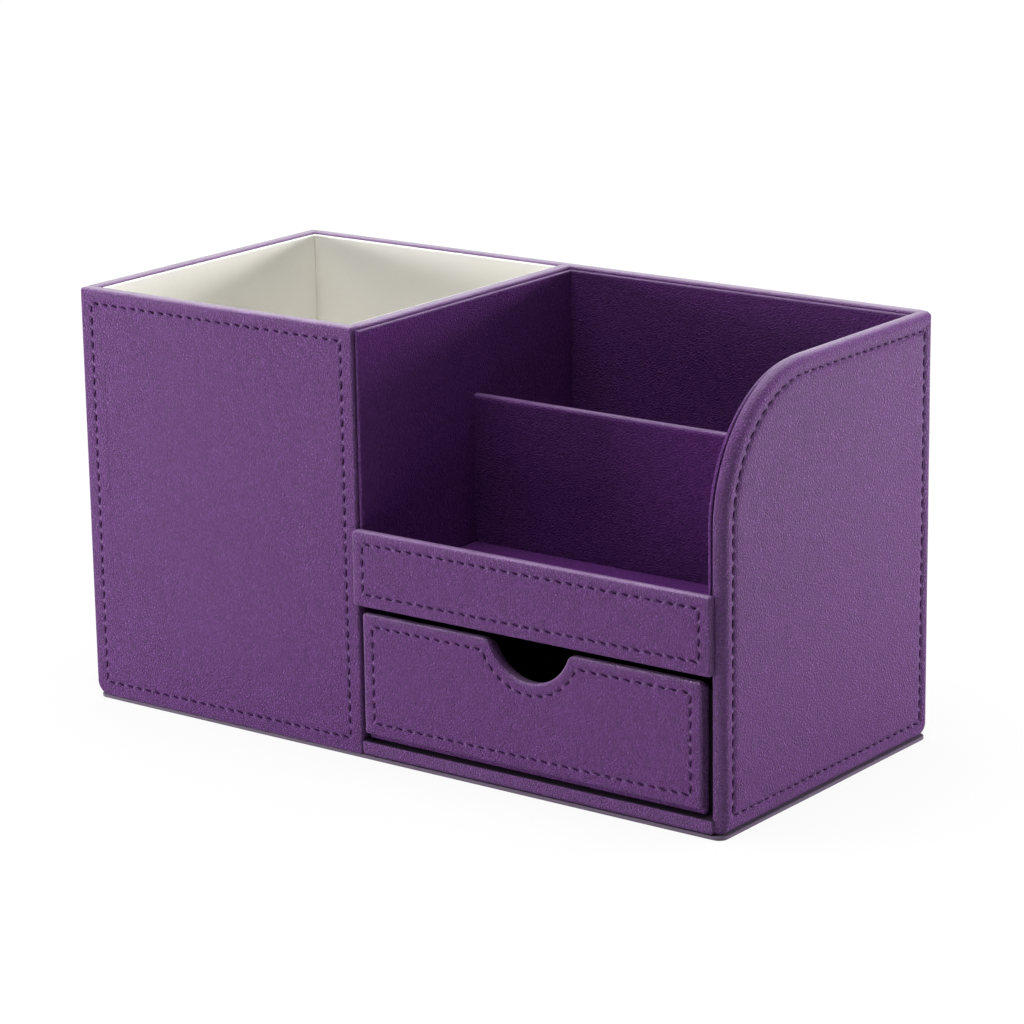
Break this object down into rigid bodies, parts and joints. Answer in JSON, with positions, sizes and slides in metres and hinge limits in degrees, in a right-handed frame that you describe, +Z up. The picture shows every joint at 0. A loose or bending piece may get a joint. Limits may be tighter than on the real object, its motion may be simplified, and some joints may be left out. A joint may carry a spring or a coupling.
{
  "type": "desk organiser with pen well and drawer",
  "caption": "Leather-wrapped desk organiser: a suede-lined pen well beside an open letter bay with a low partition, over a drawer with a finger notch.",
  "frame": {"origin": "on the desk, under the middle of the box", "axes": "+X to the right along the long side, +Y from the front to the back, +Z up"},
  "size_m": [0.25, 0.1194, 0.139],
  "materials": {
    "leather": "satin",
    "leather_lining": "satin",
    "suede_lining": "matte",
    "fibreboard": "matte",
    "stiffener_card": "matte",
    "drawer_card": "matte",
    "drawer_felt": "matte",
    "bottom_felt": "matte"
  },
  "bodies": {
    "case": {"bottom_felt": "bottom_felt", "left_panel_board": "fibreboard", "left_panel_cover": "leather", "back_panel_board": "fibreboard", "back_panel_cover": "leather", "right_panel_board": "fibreboard", "right_panel_cover": "leather", "pen_front_board": "fibreboard", "pen_front_cover": "leather", "divider_board": "fibreboard", "divider_cover": "leather", "base_board": "fibreboard", "base_cover": "leather", "shelf_board": "fibreboard", "shelf_cover": "leather", "partition_board": "fibreboard", "partition_cover": "leather", "fascia_board": "stiffener_card", "fascia_cover": "leather", "well_floor_lining": "suede_lining", "well_front_lining": "suede_lining", "well_back_lining": "suede_lining", "well_left_lining": "suede_lining", "well_right_lining": "suede_lining", "bay_left_lining": "leather_lining", "bay_back_lining": "leather_lining", "bay_right_lining": "leather_lining", "lip_lining": "leather_lining"},
    "drawer": {"drawer_face_board": "stiffener_card", "drawer_face_cover": "leather", "drawer_front_board": "fibreboard", "drawer_front_cover": "leather", "drawer_bottom": "drawer_card", "drawer_left_side": "drawer_card", "drawer_right_side": "drawer_card", "drawer_back": "drawer_card", "drawer_felt": "drawer_felt"}
  },
  "joints": [
    {"name": "drawer_slide", "type": "slide", "parent": "case", "child": "drawer", "axis": [0, -1, 0], "range_m": [0, 0.09]}
  ]
}
